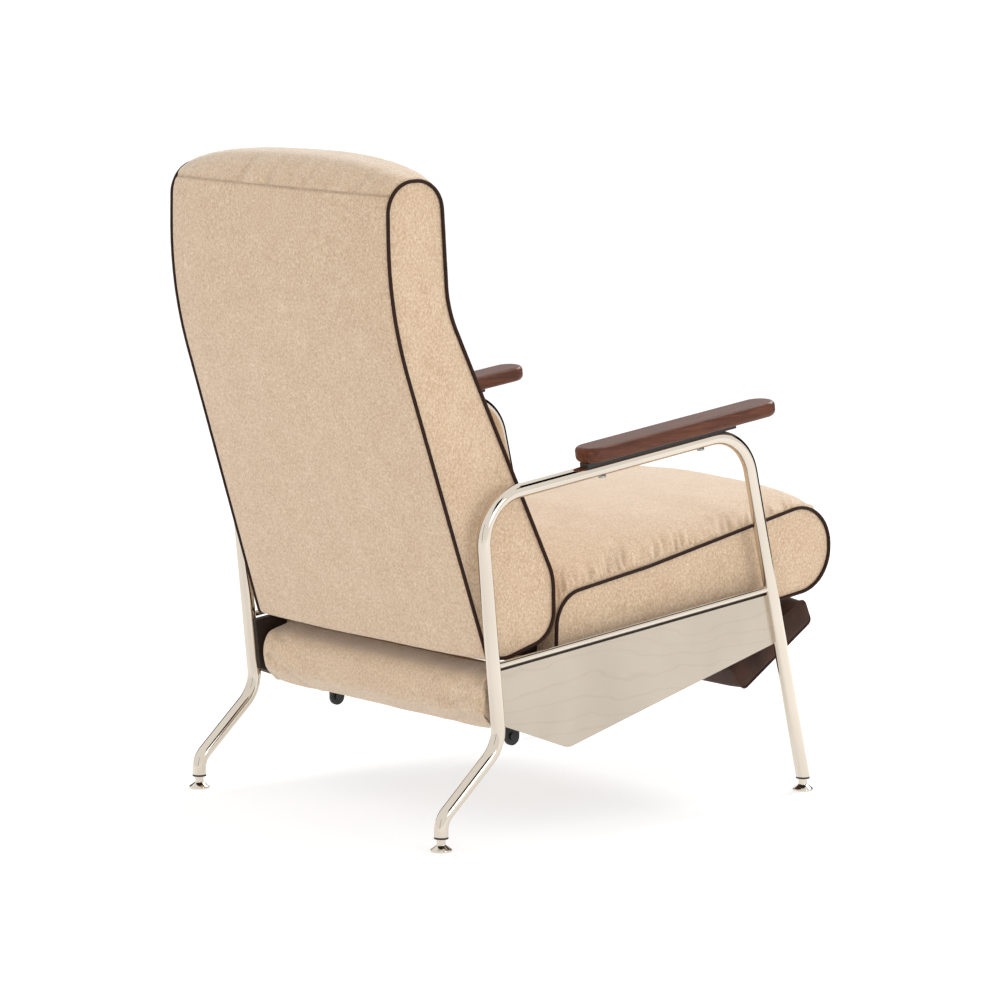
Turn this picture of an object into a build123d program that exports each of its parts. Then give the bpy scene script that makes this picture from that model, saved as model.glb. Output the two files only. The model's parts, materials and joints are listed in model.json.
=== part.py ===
from build123d import *
import os
from math import atan2, cos, degrees, radians, sin, tan

# Push-back recliner armchair in millimetres.  +Z is up, the chair faces -Y and the
# sitter's left is +X.  Side views are drawn as (y, z) outlines and given a width in x.
# The working frame has y = 0 midway between the feet; DEPTH_SHIFT moves the finished
# parts so that the origin is the bottom centre of the whole chair.

DEPTH_SHIFT = 14.75

# ---- bent tube side frames ----
TUBE_R = 11.0
TUBE_WALL = 1.5
SIDE_X = 311.0
TUBE_END_Z = 22.0
REAR_FOOT_Y = 368.0
FRONT_FOOT_Y = -368.0
REAR_KNEE = (368.0, 46.6, 35.0)
REAR_HOCK = (255.3, 149.1, 60.0)
REAR_ELBOW = (293.0, 523.5, 75.0)
FRONT_ELBOW = (-235.5, 589.5, 75.0)

# ---- arm rests ----
ARM_SLOPE = degrees(atan2(FRONT_ELBOW[1] - REAR_ELBOW[1], REAR_ELBOW[0] - FRONT_ELBOW[0]))
PAD_WIDTH = 58.0
PAD_THICK = 24.0
PAD_REAR_Y = 94.0
PAD_FRONT_Y = -294.0
PAD_CORNER_R = 27.0
PAD_TOP_R = 7.0
PAD_UNDER_R = 9.0
ARM_PLATE_WIDTH = 20.0
ARM_PLATE_GAP = 4.0
ARM_PLATE_DEPTH = 7.0
ARM_PLATE_REAR_Y = 88.0
ARM_PLATE_FRONT_Y = -213.0
ARM_SCREW_R = 3.0
ARM_SCREW_YS = (55.0, -145.0)

# ---- seat rail rods and side panels ----
ROD_R = 5.0
ROD_REAR_Y = 267.0
ROD_FRONT_Y = -294.0
PANEL_THICK = 3.0
PANEL_OUTER_X = 309.0
LINING_THICK = 12.0
LINING_INNER_X = PANEL_OUTER_X - PANEL_THICK - LINING_THICK
PANEL_TOP_GAP = 4.0
PANEL_OUTLINE = [(267.0, 263.0), (258.4, 180.5), (117.8, 126.8), (-314.0, 245.4), (-294.6, 326.6)]
PANEL_CORNER_R = 25.0

# ---- levelling glides ----
STEM_R = 5.0
STEM_FIT = 0.05
STEM_TOP_Z = 34.0
GLIDE_R = 16.5
GLIDE_RIM = 3.0
GLIDE_DOME_TOP = 9.5
NECK_R = 7.0
COLLAR_THICK = 3.0
INSERT_HEIGHT = 12.0
BODY_GAP = 0.3

# ---- cross tubes ----
CROSS_R = 11.0
CROSS_WALL = 2.0
FLANGE_R = 22.0
FLANGE_THICK = 4.0
FLANGE_SCREW_CIRCLE_R = 16.0
REAR_CROSS = (159.0, 185.0)

# ---- sloped seat deck: v runs rearward along it, w runs up from it ----
DECK_Z = 257.1
DECK_SLOPE = 7.94
FRONT_CROSS_VW = (-200.0, -42.0)

# ---- seat ----
SEAT_HALF = 278.0
# y, z, corner radius, then how far the crown at mid width moves the corner in y and z
SEAT_OUTLINE = [
    (117.0, 358.0, 56.0, 0.0, 70.0),
    (-71.0, 388.0, 0.0, 0.0, 72.0),
    (-451.0, 466.0, 65.0, -25.0, 12.0),
    (-451.0, 320.0, 68.0, -25.0, 4.0),
    (123.0, 240.0, 3.0, 0.0, 0.0),
]
# chords that stand for each rounded corner of a padded solid
ARC_CHORDS = 4
SEAT_CROWN = [(1.0, 0.0), (0.87, 0.45), (0.6, 0.85), (0.0, 1.0)]
POCKET_HALF = 236.0
POCKET_FRONT = -350.0
POCKET_REAR = 100.0
RAIL_HEIGHT = 30.0
RAIL_WIDTH = 40.0
SIDE_RAIL_INNER = 200.0
SIDE_RAIL_OUTER = 230.0
WEB_THICK = 3.0

# ---- seat glides ----
GLIDE_X = 222.0
RUNNER_HALF = 6.0
RUNNER_DEPTH = 20.0
RUNNER_FRONT = -250.0
RUNNER_REAR = 80.0
SLIDE_GAP = 0.8
CHANNEL_WALL = 2.0
CHANNEL_FRONT = -240.0
CHANNEL_REAR = 110.0
BASE_PLATE_THICK = 5.0
TAB_Y = 159.0
TAB_HALF = 13.5
TAB_RIVET_Z = 137.0

# ---- back ----
BACK_HALF_LOW = 290.0
BACK_HALF_TOP = 274.0
BACK_LOW_Z = 330.0
BACK_TOP_Z = 1007.0
BACK_OUTLINE = [
    (438.5, 1007.0, 50.0, 8.0, 30.0),
    (438.5, 813.0, 650.0, 8.0, 0.0),
    (262.5, 275.0, 8.0, 0.0, 0.0),
    (221.0, 274.0, 60.0, 0.0, 0.0),
    (128.5, 300.0, 52.0, 0.0, 0.0),
    (128.5, 392.0, 90.0, 0.0, 0.0),
    (325.5, 812.0, 180.0, -25.0, 0.0),
    (335.0, 1007.0, 48.0, -25.0, 30.0),
]
BACK_CROWN = [(1.0, 0.0), (0.86, 0.4), (0.68, 0.75), (0.0, 1.0)]
BACK_LEAN = degrees(atan2(438.5 - 262.5, 813.0 - 275.0))
BACK_BASE = (262.5, 275.0)
REAR_PANEL_THICK = 12.0
POST_THICK = 22.0
POST_INNER = 192.0
POST_OUTER = 222.0
POST_LOW = 14.0
POST_HIGH = 520.0
BACK_RAIL_HEIGHT = 40.0

# ---- back hinge ----
PIVOT_Y = 240.0
PIVOT_Z = 305.0
PIVOT_PIN_R = 5.0
PIN_FIT = 0.05
HINGE_PLATE_X = (222.0, 228.0)
BRACKET_X = (230.0, 236.0)
SLOT_X = (228.0, 241.5)
EYE_R = 12.0
SLOT_EYE_R = 16.0

# ---- welting ----
WELT_R = 2.75

# ---- apron below the back ----
APRON_HALF = 277.0
APRON_BOARD_Y = (195.0, 205.0)
APRON_BOARD_Z = (166.0, 256.0)
APRON_OUTLINE = [
    (205.0, 258.0, 3.0, 0.0, 0.0),
    (262.0, 243.0, 22.0, 0.0, 0.0),
    (262.0, 190.0, 30.0, 0.0, 0.0),
    (238.0, 164.0, 6.0, 0.0, 0.0),
    (205.0, 164.0, 3.0, 0.0, 0.0),
]
APRON_END_DEPTH = 14.0
APRON_END_X = 258.0

# ---- footrest ----
FOOT_RUNNER_X = 180.0
FOOT_RUNNER_HALF = 5.0
FOOT_CHANNEL_HALF = 8.0
FOOT_CHANNEL_HEIGHT = 20.0
FOOT_LIP = 4.0
FOOT_CHANNEL_FRONT = -340.0
FOOT_CHANNEL_REAR = 80.0
FOOT_RUNNER_REAR = -90.0
FOOT_PIVOT_VW = (-394.0, -10.0)
FOOT_EYE_R = 7.2
FOOT_PIN_R = 4.0
CROSS_BAR_V = (-360.0, -348.0)
CROSS_BAR_W = (-16.0, -4.0)
FOOT_HALF = 252.0
FOOT_CORNER = (-421.0, 297.0)
FOOT_LEAN = 30.7
# the slab's section: along its back face from the top front corner, and out from that face
FOOT_SECTION = [(0.0, 0.0), (6.0, -42.0), (179.0, -51.0), (183.0, 0.0)]
FOOT_SECTION_R = 10.0
FOOT_BOARD_HALF = 236.0
FOOT_BOARD_SPAN = (12.0, 168.0)
FOOT_BOARD_THICK = 12.0
EAR_THICK = 4.0
EAR_GAP = 1.0
EAR_BASE = 3.0


# ---------------------------------------------------------------- helpers

DECK = Location((0, 0, DECK_Z), (-DECK_SLOPE, 0, 0))
BACK = Location((0, BACK_BASE[0], BACK_BASE[1]), (-BACK_LEAN, 0, 0))
FOOT = Location((0, FOOT_CORNER[0], FOOT_CORNER[1]), (-FOOT_LEAN, 0, 0))


def save(name, shape):
    """Write one node, moved into the finished frame."""
    export_step(Pos(0, DEPTH_SHIFT, 0) * shape, f"parts/{name}.step")


def save_pair(name, left_shape):
    """Write a node drawn on the sitter's left, and its mirror on the right."""
    save(f"left_{name}", left_shape)
    save(f"right_{name}", mirror(left_shape, about=Plane.YZ))


def group(shapes):
    """Several separate solids as one node."""
    return Compound([solid for shape in shapes for solid in shape.solids()])


def both_sides(shape):
    """The shape and its mirror, kept as separate solids of one group."""
    return group([shape, mirror(shape, about=Plane.YZ)])


def block(x, y, z):
    """Box from (low, high) pairs."""
    size = [high - low for low, high in (x, y, z)]
    centre = [(high + low) / 2 for low, high in (x, y, z)]
    return Pos(*centre) * Box(*size)


def outline(points, radii):
    """Closed side-view face with one radius per corner."""
    return make_face(FilletPolyline(*points, radius=radii, close=True))


def plate(points, radii, x):
    """Side-view outline made solid between two x positions."""
    return extrude(Plane.YZ.offset(x[0]) * outline(points, radii), amount=x[1] - x[0])


def disc(y, z, radius, x):
    """Round bar along x between two x positions."""
    return extrude(Plane.YZ.offset(x[0]) * Pos(y, z) * Circle(radius), amount=x[1] - x[0])


def deck_point(v, w):
    """Side-view point on the sloped deck."""
    y = v * cos(radians(DECK_SLOPE)) + w * sin(radians(DECK_SLOPE))
    z = DECK_Z - v * sin(radians(DECK_SLOPE)) + w * cos(radians(DECK_SLOPE))
    return (y, z)


def inset(corners, amount):
    """Points and radii of a side-view outline drawn smaller by amount all round."""
    count = len(corners)
    area = sum(
        corners[i - 1][0] * corners[i][1] - corners[i][0] * corners[i - 1][1]
        for i in range(count)
    )
    turn_in = 1.0 if area > 0 else -1.0
    points = []
    radii = []
    for i, corner in enumerate(corners):
        here = Vector(corner[0], corner[1])
        before = Vector(corners[i - 1][0], corners[i - 1][1])
        after = Vector(corners[(i + 1) % count][0], corners[(i + 1) % count][1])
        run_in = (here - before).normalized()
        run_out = (after - here).normalized()
        side_in = Vector(-run_in.Y, run_in.X) * turn_in
        side_out = Vector(-run_out.Y, run_out.X) * turn_in
        middle = side_in + side_out
        point = here + middle * (amount * 2 / middle.dot(middle))
        convex = run_in.cross(run_out).Z * turn_in > 0
        points.append((point.X, point.Y))
        radii.append(max(corner[2] - amount if convex else corner[2] + amount, 1.0))
    return points, radii


def rounded(corners):
    """Side-view points of an outline whose rounded corners are a few short chords."""
    points = []
    for i, corner in enumerate(corners):
        here = Vector(corner[0], corner[1])
        before = Vector(corners[i - 1][0], corners[i - 1][1])
        after = Vector(corners[(i + 1) % len(corners)][0], corners[(i + 1) % len(corners)][1])
        run_in = (here - before).normalized()
        run_out = (after - here).normalized()
        if corner[2] == 0:
            points.append(here)
            continue
        turn = radians(run_in.get_angle(run_out))
        tangent = corner[2] * tan(turn / 2)
        start = here - run_in * tangent
        end = here + run_out * tangent
        for step in range(ARC_CHORDS + 1):
            t = step / ARC_CHORDS
            # quadratic blend through the corner follows the arc closely enough for padding
            points.append(start * (1 - t) ** 2 + here * (2 * t * (1 - t)) + end * t ** 2)
    return [(point.X, point.Y) for point in points]


def crowned(corners, crown, half_width):
    """Cushion lofted across its width.

    corners hold y, z, radius and the crown's shift; crown lists (share of the half
    width, share of the crown); half_width(z) gives the side face's x.
    """
    shares = [(-share, rise) for share, rise in crown] + [(s, r) for s, r in reversed(crown[:-1])]
    sections = []
    for share, rise in shares:
        moved = [(y + rise * dy, z + rise * dz, radius) for y, z, radius, dy, dz in corners]
        ring = [(share * half_width(z), y, z) for y, z in rounded(moved)]
        sections.append(make_face(Polyline(*ring, close=True)))
    return loft(sections, ruled=True)


def welt(corners, half_width):
    """Piping that lies on a cushion's side face, just inside its outline."""
    points, radii = inset(corners, WELT_R)
    path = FilletPolyline(
        *[(half_width(z) + WELT_R, y, z) for y, z in points], radius=radii, close=True
    )
    wire = Wire(path.edges())
    return sweep(Plane(origin=wire @ 0, z_dir=wire % 0) * Circle(WELT_R), path=wire)


def back_half(z):
    """Half width of the back's side face; the back narrows towards its top."""
    taper = (BACK_HALF_LOW - BACK_HALF_TOP) / (BACK_TOP_Z - BACK_LOW_Z)
    return BACK_HALF_LOW - WELT_R - taper * (z - BACK_LOW_Z)


def seat_half(z):
    """Half width of the seat's side face, the same at every height."""
    return SEAT_HALF


# ---------------------------------------------------------------- side frames

def tube_path():
    """Centre line of one side frame, from the rear foot to the front foot."""
    lean = (FRONT_FOOT_Y - FRONT_ELBOW[0]) / (TUBE_END_Z - FRONT_ELBOW[1])
    extra = TUBE_END_Z / 2
    corners = [REAR_KNEE, REAR_HOCK, REAR_ELBOW, FRONT_ELBOW]
    points = [(SIDE_X, REAR_FOOT_Y, TUBE_END_Z - extra)]
    points += [(SIDE_X, y, z) for y, z, _ in corners]
    points += [(SIDE_X, FRONT_FOOT_Y - lean * extra, TUBE_END_Z - extra)]
    return Wire(FilletPolyline(*points, radius=[c[2] for c in corners]).edges())


def swept_round(path, radius):
    """Round bar along a path."""
    return sweep(Plane(origin=path @ 0, z_dir=path % 0) * Circle(radius), path=path)


SIDE_PATH = tube_path()
BELOW_TUBES = block((SIDE_X - 40, SIDE_X + 40), (-450, 450), (-10, TUBE_END_Z))
TUBE_OUTER = swept_round(SIDE_PATH, TUBE_R) - BELOW_TUBES
TUBE_LUMEN = swept_round(SIDE_PATH, TUBE_R - TUBE_WALL) - BELOW_TUBES


def rail_z(y):
    """Height of the arm rail's centre line."""
    slope = (FRONT_ELBOW[1] - REAR_ELBOW[1]) / (FRONT_ELBOW[0] - REAR_ELBOW[0])
    return REAR_ELBOW[1] + slope * (y - REAR_ELBOW[0])


def on_arm(y):
    """Frame that sits on the arm rail at y, with its z square to the rail."""
    return Location((SIDE_X, y, rail_z(y)), (-ARM_SLOPE, 0, 0))


def arm_pad():
    """Rounded arm pad, longer than its mounting plate."""
    length = (PAD_REAR_Y - PAD_FRONT_Y) / cos(radians(ARM_SLOPE))
    body = extrude(RectangleRounded(PAD_WIDTH, length, PAD_CORNER_R), amount=PAD_THICK)
    body = fillet(body.faces().sort_by(Axis.Z)[-1].edges(), PAD_TOP_R)
    body = fillet(body.faces().sort_by(Axis.Z)[0].edges(), PAD_UNDER_R)
    middle = (PAD_REAR_Y + PAD_FRONT_Y) / 2
    return on_arm(middle) * Pos(0, 0, TUBE_R + ARM_PLATE_GAP) * body


def arm_plate():
    """Steel plate that saddles the rail and carries the pad."""
    length = (ARM_PLATE_REAR_Y - ARM_PLATE_FRONT_Y) / cos(radians(ARM_SLOPE))
    top = TUBE_R + ARM_PLATE_GAP
    half = ARM_PLATE_WIDTH / 2
    flat = block((-half, half), (-length / 2, length / 2), (top - ARM_PLATE_DEPTH, top))
    middle = (ARM_PLATE_REAR_Y + ARM_PLATE_FRONT_Y) / 2
    return on_arm(middle) * flat - TUBE_OUTER


def arm_screws():
    """Screws from under the rail into the pad."""
    screws = []
    for y in ARM_SCREW_YS:
        shank = Pos(0, 0, 8) * Cylinder(ARM_SCREW_R, 40)
        head = Pos(0, 0, -TUBE_R - 1.5) * Cylinder(ARM_SCREW_R * 2, 3)
        screws.append(on_arm(y) * (shank + head))
    return group(screws)


def rod_centre(y):
    """Side-view point on the seat rail rod, which climbs towards the front."""
    return (y, 270.6 + 0.1137 * (252.1 - y))


def seat_rail():
    """Thin rod between the legs, coped to the tubes."""
    rear = Vector(SIDE_X, *rod_centre(ROD_REAR_Y))
    front = Vector(SIDE_X, *rod_centre(ROD_FRONT_Y))
    return swept_round(Wire([Edge.make_line(rear, front)]), ROD_R) - TUBE_OUTER


def panel(x, lower_lift, top_gap):
    """Side panel layer; the lower edge is lifted and the top edge dropped by the given amounts."""
    lift = [-top_gap, lower_lift, lower_lift, lower_lift, -top_gap]
    points = [(y, z + up) for (y, z), up in zip(PANEL_OUTLINE, lift)]
    return plate(points, [0, 0, PANEL_CORNER_R, 0, 0], x) - TUBE_OUTER


# ---------------------------------------------------------------- feet

FEET = [(sign * SIDE_X, y) for sign in (1, -1) for y in (FRONT_FOOT_Y, REAR_FOOT_Y)]


def foot_insert(y):
    """Threaded plug in a tube end, with a collar below it."""
    band = block((SIDE_X - 20, SIDE_X + 20), (y - 20, y + 20), (TUBE_END_Z, TUBE_END_Z + INSERT_HEIGHT))
    plug = TUBE_LUMEN & band
    collar = Pos(SIDE_X, y, TUBE_END_Z - COLLAR_THICK / 2) * Cylinder(TUBE_R, COLLAR_THICK)
    bore = Pos(SIDE_X, y, TUBE_END_Z) * Cylinder(STEM_R + STEM_FIT, 60)
    return (plug + collar) - bore


def levelling_glide(x, y):
    """Domed foot on a threaded stem."""
    neck_top = TUBE_END_Z - COLLAR_THICK - BODY_GAP
    profile = make_face(
        FilletPolyline(
            (0, 0), (GLIDE_R, 0), (GLIDE_R, GLIDE_RIM), (NECK_R, GLIDE_DOME_TOP),
            (NECK_R, neck_top), (STEM_R, neck_top), (STEM_R, STEM_TOP_Z), (0, STEM_TOP_Z),
            radius=[0, 1, 2, 2, 0, 0, 1, 0], close=True,
        )
    )
    return Pos(x, y, 0) * revolve(Plane.XZ * profile, axis=Axis.Z)


# ---------------------------------------------------------------- cross members

FRONT_CROSS = deck_point(*FRONT_CROSS_VW)
CROSS_HALF = LINING_INNER_X - FLANGE_THICK


def cross_tube(centre):
    """Round tube between the side linings, with its end flanges as one welded piece."""
    tube = disc(*centre, CROSS_R, (-CROSS_HALF, CROSS_HALF))
    for low in (-LINING_INNER_X, CROSS_HALF):
        tube += disc(*centre, FLANGE_R, (low, low + FLANGE_THICK))
    return tube - disc(*centre, CROSS_R - CROSS_WALL, (-CROSS_HALF, CROSS_HALF))


def flange_screws():
    """Three screws at each end of each cross tube."""
    screws = []
    for centre in (REAR_CROSS, FRONT_CROSS):
        for turn in (90, 210, 330):
            y = centre[0] + FLANGE_SCREW_CIRCLE_R * cos(radians(turn))
            z = centre[1] + FLANGE_SCREW_CIRCLE_R * sin(radians(turn))
            shank = disc(y, z, 2.0, (CROSS_HALF, LINING_INNER_X + 9))
            screws.append(shank + disc(y, z, 3.5, (CROSS_HALF - 2, CROSS_HALF)))
    return both_sides(group(screws))


def base_plate():
    """Steel plate of the recline mechanism, with a rounded tab at the rear."""
    half = BASE_PLATE_THICK / 2
    top_w = -RUNNER_DEPTH - SLIDE_GAP - CHANNEL_WALL
    rear_top_y = TAB_Y + 27
    rear_top_z = DECK_Z - rear_top_y * tan(radians(DECK_SLOPE)) + top_w / cos(radians(DECK_SLOPE))
    tab_bottom = TAB_RIVET_Z - 14
    points = [
        deck_point(CHANNEL_FRONT - 5, top_w),
        (rear_top_y, rear_top_z),
        (rear_top_y, 168.0),
        (TAB_Y + TAB_HALF, 156.0),
        (TAB_Y + TAB_HALF, tab_bottom),
        (TAB_Y - TAB_HALF, tab_bottom),
        (TAB_Y - TAB_HALF, 156.0),
        (TAB_Y - 31, 168.0),
        deck_point(CHANNEL_FRONT - 5, -60.0),
    ]
    radii = [6, 8, 12, 6, TAB_HALF - 0.1, TAB_HALF - 0.1, 6, 20, 12]
    body = plate(points, radii, (GLIDE_X - half, GLIDE_X + half))
    for centre in (REAR_CROSS, FRONT_CROSS):
        body -= disc(*centre, CROSS_R, (GLIDE_X - 10, GLIDE_X + 10))
    return body - disc(TAB_Y, TAB_RIVET_Z, 3.0, (GLIDE_X - 10, GLIDE_X + 10))


def tab_rivet():
    """Rivet in the base plate's tab."""
    half = BASE_PLATE_THICK / 2
    rivet = disc(TAB_Y, TAB_RIVET_Z, 3.0, (GLIDE_X - half - 2.5, GLIDE_X + half + 2.5))
    for low in (GLIDE_X - half - 2.5, GLIDE_X + half):
        rivet += disc(TAB_Y, TAB_RIVET_Z, 6.0, (low, low + 2.5))
    return rivet


def seat_channel():
    """Open channel on top of the base plate that guides the seat."""
    inner = RUNNER_HALF + SLIDE_GAP
    outer = inner + CHANNEL_WALL
    floor = -RUNNER_DEPTH - SLIDE_GAP
    body = block((-outer, outer), (CHANNEL_FRONT, CHANNEL_REAR), (floor - CHANNEL_WALL, -3))
    hollow = block((-inner, inner), (CHANNEL_FRONT - 1, CHANNEL_REAR + 1), (floor, 0))
    return DECK * Pos(GLIDE_X, 0, 0) * (body - hollow)


def apron_pad():
    """Padded rail cover below the back, with rounded ends."""
    ends = [(y - APRON_END_DEPTH if y > 230 else y, z, r, 0, 0) for y, z, r, _, _ in APRON_OUTLINE]
    sections = []
    for x, corners in (
        (-APRON_HALF, ends), (-APRON_END_X, APRON_OUTLINE),
        (APRON_END_X, APRON_OUTLINE), (APRON_HALF, ends),
    ):
        path = FilletPolyline(*[(x, c[0], c[1]) for c in corners],
                              radius=[c[2] for c in corners], close=True)
        sections.append(make_face(path))
    return loft(sections, ruled=True)


def apron_bracket():
    """Angle bracket that joins the apron board to the side lining."""
    face = APRON_BOARD_Y[0]
    on_side = block((LINING_INNER_X - 2.5, LINING_INNER_X), (face - 22, face), (212, 246))
    on_board = block((LINING_INNER_X - 26, LINING_INNER_X), (face - 2.5, face), (212, 246))
    return on_side + on_board


# ---------------------------------------------------------------- seat

def deck_block(x, v, w):
    """Box laid out on the sloped deck."""
    return DECK * block(x, v, w)


def seat_side_rail():
    """Hardwood rail of the seat frame."""
    x = (SIDE_RAIL_INNER, SIDE_RAIL_OUTER)
    return deck_block(x, (POCKET_FRONT, POCKET_REAR), (0, RAIL_HEIGHT))


def seat_end_rail(v_low):
    """Front or rear rail between the side rails."""
    x = (-SIDE_RAIL_INNER, SIDE_RAIL_INNER)
    return deck_block(x, (v_low, v_low + RAIL_WIDTH), (0, RAIL_HEIGHT))


def seat_webbing():
    """Woven deck stretched over the seat frame."""
    x = (-SIDE_RAIL_OUTER, SIDE_RAIL_OUTER)
    return deck_block(x, (POCKET_FRONT, POCKET_REAR), (RAIL_HEIGHT, RAIL_HEIGHT + WEB_THICK))


def back_bracket():
    """Steel arm that carries the back's pivot behind the seat."""
    points = [
        deck_point(-20, 2),
        deck_point(-20, 28),
        deck_point(96, 28),
        (PIVOT_Y - 24, PIVOT_Z - 1),
        (PIVOT_Y, PIVOT_Z - 8),
        (PIVOT_Y - 14, PIVOT_Z - 14),
        (200.0, 268.0),
        (135.0, 263.0),
        deck_point(99, 2),
    ]
    arm = plate(points, [4, 4, 12, 6, 0, 10, 16, 30, 8], BRACKET_X)
    arm += disc(PIVOT_Y, PIVOT_Z, EYE_R, BRACKET_X)
    return arm - disc(PIVOT_Y, PIVOT_Z, PIVOT_PIN_R + PIN_FIT, (220, 245))


def seat_runner():
    """Bar under the seat frame that slides in the base plate's channel."""
    x = (GLIDE_X - RUNNER_HALF, GLIDE_X + RUNNER_HALF)
    return deck_block(x, (RUNNER_FRONT, RUNNER_REAR), (-RUNNER_DEPTH, 0))


def footrest_channel():
    """Lipped channel under the seat that guides a footrest runner."""
    wall = CHANNEL_WALL
    outer = FOOT_CHANNEL_HALF
    v = (FOOT_CHANNEL_FRONT, FOOT_CHANNEL_REAR)
    past = (v[0] - 1, v[1] + 1)
    body = block((-outer, outer), v, (-FOOT_CHANNEL_HEIGHT, 0))
    body -= block((-outer + wall, outer - wall), past, (-FOOT_CHANNEL_HEIGHT + wall, -wall))
    body -= block((-FOOT_LIP, FOOT_LIP), past, (-FOOT_CHANNEL_HEIGHT - 1, -wall))
    return DECK * Pos(FOOT_RUNNER_X, 0, 0) * body


def seat_cushion(fillers):
    """Seat foam and cover, hollowed for the frame inside it."""
    body = crowned(SEAT_OUTLINE, SEAT_CROWN, seat_half)
    x = (-POCKET_HALF, POCKET_HALF)
    pocket = deck_block(x, (POCKET_FRONT, POCKET_REAR), (-20, RAIL_HEIGHT + WEB_THICK))
    body -= pocket
    for filler in fillers:
        body -= filler
    return body


# ---------------------------------------------------------------- back

def back_block(x, n, l):
    """Box laid out on the leaning back, n out to the rear and l up along it."""
    return BACK * block(x, n, l)


POST_REAR = -REAR_PANEL_THICK
POST_FRONT = POST_REAR - POST_THICK


def back_post():
    """Upright of the back frame."""
    return back_block((POST_INNER, POST_OUTER), (POST_FRONT, POST_REAR), (POST_LOW, POST_HIGH))


def back_cross_rail(l_low):
    """Rail between the back frame's uprights."""
    l = (l_low, l_low + BACK_RAIL_HEIGHT)
    return back_block((-POST_INNER, POST_INNER), (POST_FRONT, POST_REAR), l)


def back_webbing():
    """Woven sheet on the front of the back frame."""
    n = (POST_FRONT - WEB_THICK, POST_FRONT)
    return back_block((-POST_OUTER, POST_OUTER), n, (POST_LOW, POST_HIGH))


def on_back(y, z):
    """A side-view point in the leaning back's own n and l."""
    dy = y - BACK_BASE[0]
    dz = z - BACK_BASE[1]
    lean = radians(BACK_LEAN)
    return (dy * cos(lean) - dz * sin(lean), dy * sin(lean) + dz * cos(lean))


def hinge_plate():
    """Steel strap beside the upright, with the pivot at its lower end."""
    n, l = on_back(PIVOT_Y, PIVOT_Z)
    strap = block(HINGE_PLATE_X, (n - EYE_R, n + EYE_R), (l, l + 150))
    body = BACK * strap + disc(PIVOT_Y, PIVOT_Z, EYE_R, HINGE_PLATE_X)
    return body - disc(PIVOT_Y, PIVOT_Z, PIVOT_PIN_R, (200, 245))


def hinge_pin():
    """Shouldered pin fixed in the hinge plate."""
    shank = disc(PIVOT_Y, PIVOT_Z, PIVOT_PIN_R, (HINGE_PLATE_X[0], BRACKET_X[1] + 1))
    head = disc(PIVOT_Y, PIVOT_Z, PIVOT_PIN_R + 3, (BRACKET_X[1] + 1, BRACKET_X[1] + 4.5))
    return shank + head


def pivot_slot():
    """Room in the back for the seat's bracket over the whole recline."""
    points = [
        (PIVOT_Y, PIVOT_Z), (PIVOT_Y + 32, PIVOT_Z - 55), (110.0, 250.0), (110.0, 330.0),
        (PIVOT_Y - 4, 330.0), (PIVOT_Y + 10, PIVOT_Z + 12.5),
    ]
    return plate(points, [0] * len(points), SLOT_X) + disc(PIVOT_Y, PIVOT_Z, SLOT_EYE_R, SLOT_X)


def back_shapes(fillers):
    """The back's foam and cover, and the padded panel on its rear."""
    whole = crowned(BACK_OUTLINE, BACK_CROWN, back_half)
    span = (POST_LOW - 4, POST_HIGH + 10)
    x = (-POST_OUTER - 40, POST_OUTER + 40)
    rear = back_block(x, (-REAR_PANEL_THICK, 60), span) & whole
    hollow = back_block(x, (-REAR_PANEL_THICK, 60), span)
    frame = back_block(
        (-POST_OUTER, POST_OUTER), (POST_FRONT - WEB_THICK, POST_REAR), (POST_LOW, POST_HIGH)
    )
    front = whole - hollow - frame
    for filler in fillers:
        front -= filler
        rear -= filler
    return front, rear


# ---------------------------------------------------------------- footrest

FOOT_PIVOT = deck_point(*FOOT_PIVOT_VW)


def footrest_runner():
    """Bar that slides in the footrest channel, with the hinge eye at its front."""
    x = (FOOT_RUNNER_X - FOOT_RUNNER_HALF, FOOT_RUNNER_X + FOOT_RUNNER_HALF)
    w = FOOT_PIVOT_VW[1]
    bar = deck_block(x, (FOOT_PIVOT_VW[0], FOOT_RUNNER_REAR), (w - FOOT_EYE_R, w + FOOT_EYE_R))
    bar += disc(*FOOT_PIVOT, FOOT_EYE_R, x)
    return bar - disc(*FOOT_PIVOT, FOOT_PIN_R + PIN_FIT, (x[0] - 5, x[1] + 5))


def cross_bar():
    """Bar that ties the two footrest runners together."""
    reach = FOOT_RUNNER_X - FOOT_RUNNER_HALF
    return deck_block((-reach, reach), CROSS_BAR_V, CROSS_BAR_W)


def footrest_board():
    """Plywood board in the footrest's back face."""
    x = (-FOOT_BOARD_HALF, FOOT_BOARD_HALF)
    return FOOT * block(x, FOOT_BOARD_SPAN, (-FOOT_BOARD_THICK, 0))


def footrest_pad(board):
    """Upholstered footrest around its board."""
    section = outline(FOOT_SECTION, [FOOT_SECTION_R] * 4)
    solid = extrude(Plane.YZ.offset(-FOOT_HALF) * section, amount=2 * FOOT_HALF)
    return FOOT * solid - board


def ear_sides():
    """The x ranges of a hinge bracket's two ears, beside the runner."""
    inner = FOOT_RUNNER_HALF + EAR_GAP
    outer = inner + EAR_THICK
    return [(FOOT_RUNNER_X - outer, FOOT_RUNNER_X - inner), (FOOT_RUNNER_X + inner, FOOT_RUNNER_X + outer)]


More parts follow.
